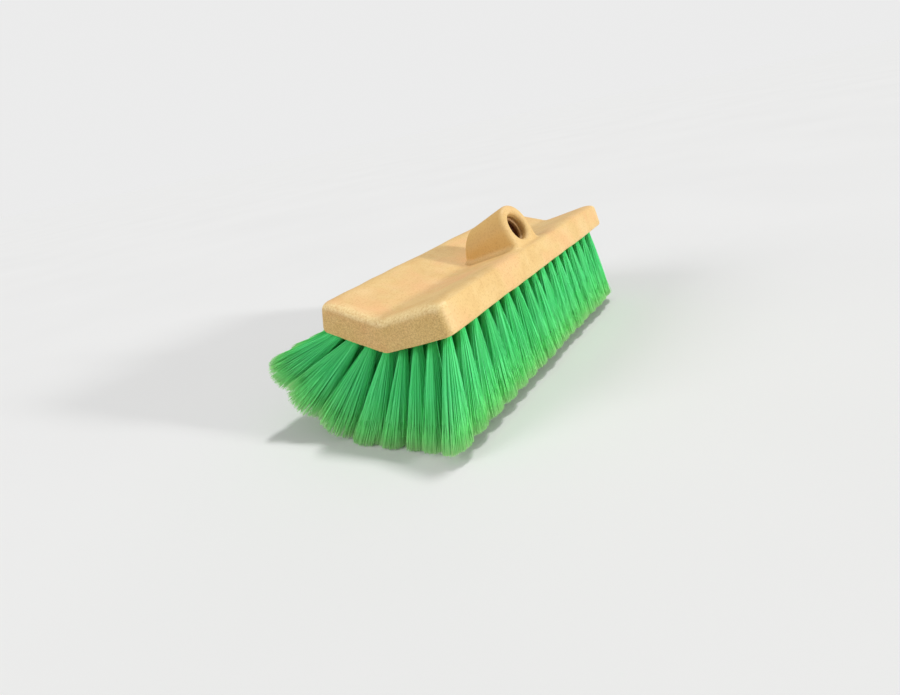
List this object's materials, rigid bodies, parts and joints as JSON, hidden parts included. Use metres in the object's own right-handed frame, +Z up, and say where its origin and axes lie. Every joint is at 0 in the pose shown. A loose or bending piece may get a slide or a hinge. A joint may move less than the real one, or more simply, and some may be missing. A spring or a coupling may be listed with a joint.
{
  "type": "vehicle wash brush head",
  "caption": "Bi-level wash brush head: moulded chevron block with a slanted handle socket across its valley, set with rows of fanned bristle tufts.",
  "frame": {"origin": "middle of the bounding box seen from above, on the surface that the brush stands on", "axes": "+X along the block, +Y across it away from the handle's side, +Z up, out of the socket's side of the block"},
  "size_m": [0.2622, 0.151, 0.1133],
  "materials": {
    "foam_plastic": "moulded tan structural foam plastic, satin with a fine speckle",
    "bristle": "soft green plastic filament, flagged and paler at the trimmed tips"
  },
  "bodies": {
    "root": {"brush_block": "foam_plastic", "tuft_rank_left_01": "bristle", "tuft_rank_left_02": "bristle", "tuft_rank_left_03": "bristle", "tuft_rank_left_04": "bristle", "tuft_rank_left_05": "bristle", "tuft_rank_left_06": "bristle", "tuft_rank_left_07": "bristle", "tuft_rank_left_08": "bristle", "tuft_rank_left_09": "bristle", "tuft_rank_left_10": "bristle", "tuft_rank_left_11": "bristle", "tuft_rank_left_12": "bristle", "tuft_rank_left_13": "bristle", "tuft_rank_left_14": "bristle", "tuft_rank_left_15": "bristle", "tuft_rank_left_16": "bristle", "tuft_rank_left_17": "bristle", "tuft_rank_right_01": "bristle", "tuft_rank_right_02": "bristle", "tuft_rank_right_03": "bristle", "tuft_rank_right_04": "bristle", "tuft_rank_right_05": "bristle", "tuft_rank_right_06": "bristle", "tuft_rank_right_07": "bristle", "tuft_rank_right_08": "bristle", "tuft_rank_right_09": "bristle", "tuft_rank_right_10": "bristle", "tuft_rank_right_11": "bristle", "tuft_rank_right_12": "bristle", "tuft_rank_right_13": "bristle", "tuft_rank_right_14": "bristle", "tuft_rank_right_15": "bristle", "tuft_rank_right_16": "bristle", "tuft_rank_right_17": "bristle"}
  },
  "joints": []
}
